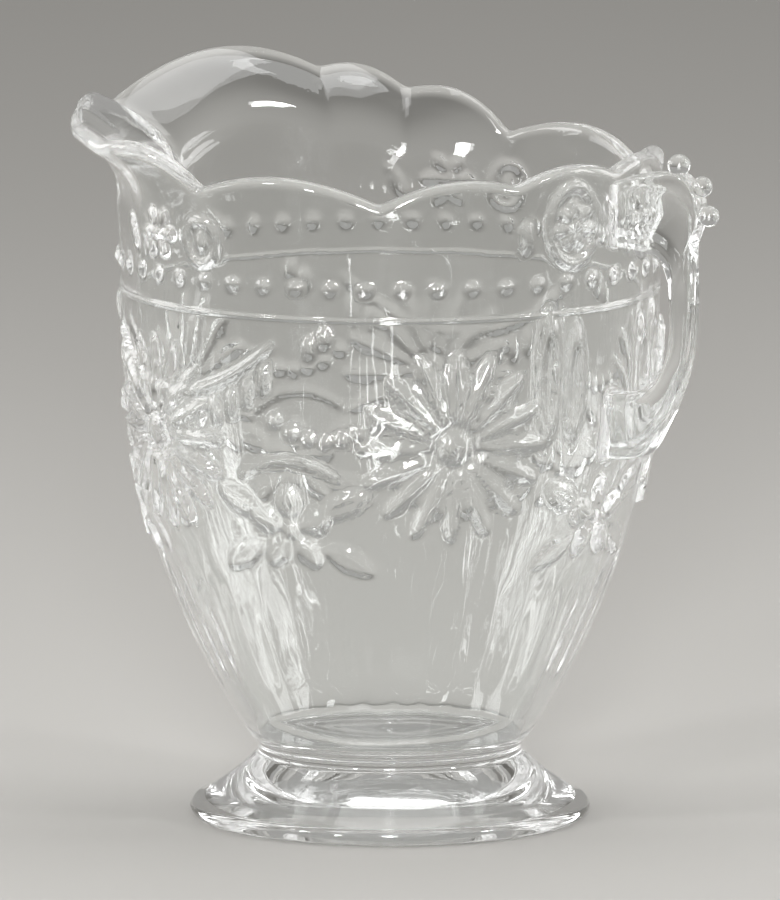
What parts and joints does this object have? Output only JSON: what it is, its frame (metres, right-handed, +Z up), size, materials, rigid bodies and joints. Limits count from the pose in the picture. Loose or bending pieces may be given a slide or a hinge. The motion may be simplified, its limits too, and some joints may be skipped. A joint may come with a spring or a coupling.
{
  "type": "creamer",
  "caption": "Small clear pressed-glass footed jug with a scalloped rim, a drawn pouring lip, a loop handle with beads and raised flowers, for serving cream.",
  "frame": {"origin": "On the table, under the middle of the object's length from lip to handle and of its width; the bowl's axis is parallel to Z, 3.2 mm toward the lip.", "axes": "+Z up, +X toward the handle, -X toward the pouring lip, +Y toward the side with the higher crest beside the lip."},
  "size_m": [0.128, 0.0952, 0.1271],
  "materials": {
    "clear_glass": "fire-polished clear pressed glass",
    "pattern_glass": "clear pressed glass with moulded relief"
  },
  "bodies": {
    "root": {"bowl": "clear_glass", "foot": "clear_glass", "handle": "clear_glass", "thumb_bead_1": "clear_glass", "thumb_bead_2": "clear_glass", "thumb_bead_3": "clear_glass", "daisy_1": "pattern_glass", "daisy_2": "pattern_glass", "daisy_3": "pattern_glass", "daisy_4": "pattern_glass", "daisy_5": "pattern_glass", "leaf_flower_1": "pattern_glass", "leaf_flower_2": "pattern_glass", "leaf_flower_3": "pattern_glass", "leaf_flower_4": "pattern_glass", "leaf_flower_5": "pattern_glass"}
  },
  "joints": []
}
